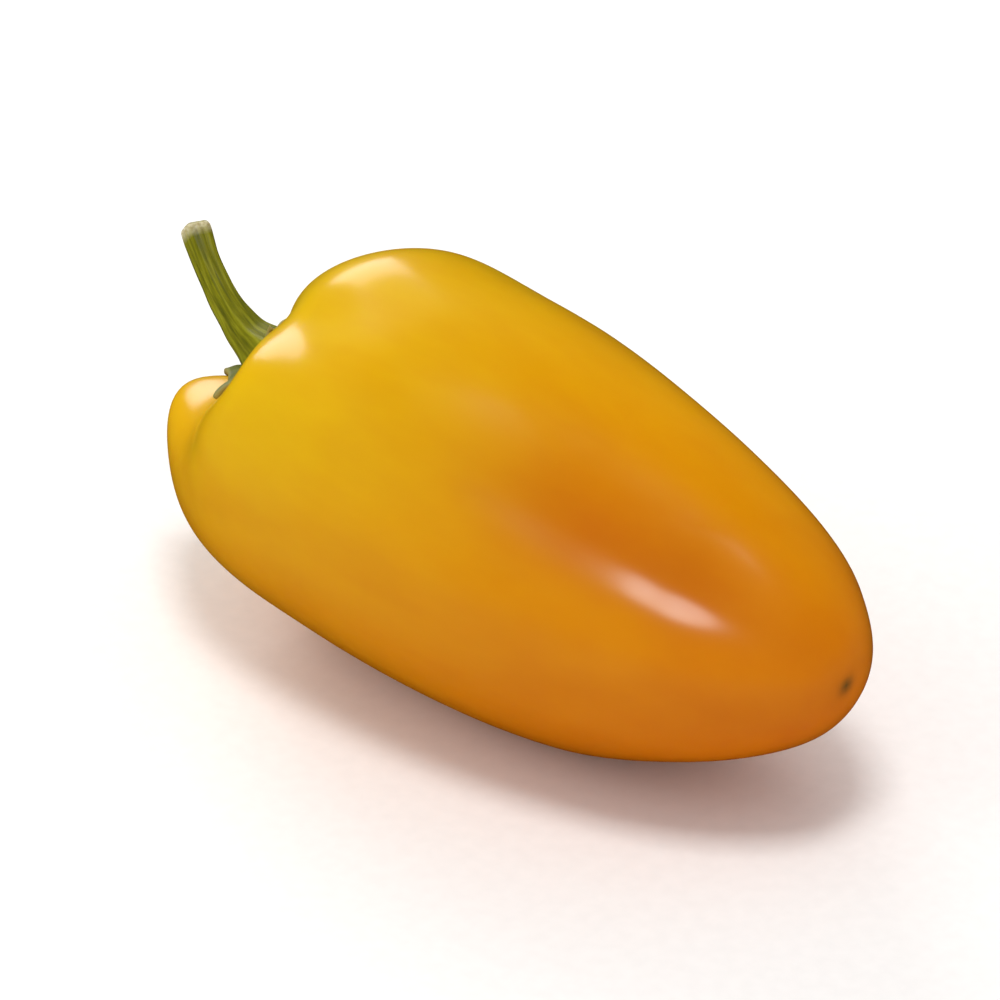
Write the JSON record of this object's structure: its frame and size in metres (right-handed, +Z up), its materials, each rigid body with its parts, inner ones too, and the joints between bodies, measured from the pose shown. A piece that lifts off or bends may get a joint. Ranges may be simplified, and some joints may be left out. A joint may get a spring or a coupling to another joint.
{
  "type": "mini bell pepper",
  "caption": "Small tapered sweet pepper lying on its side, with lobed shoulders, a pointed green calyx and a short curved stem.",
  "frame": {"origin": "middle of the whole pepper's outline seen from above, at the height of the surface it lies on", "axes": "+X along the pepper's length from the stem to the blossom end, +Z up, -Z out of the flat spot it rests on"},
  "size_m": [0.1034, 0.0454, 0.0463],
  "materials": {
    "pepper_skin": "smooth waxy vegetable skin, golden yellow",
    "calyx_green": "dull green plant tissue, slightly bumpy",
    "stem_green": "satin green plant stalk, lightly ridged"
  },
  "bodies": {
    "root": {"fruit": "pepper_skin", "calyx": "calyx_green", "stem": "stem_green"}
  },
  "joints": []
}
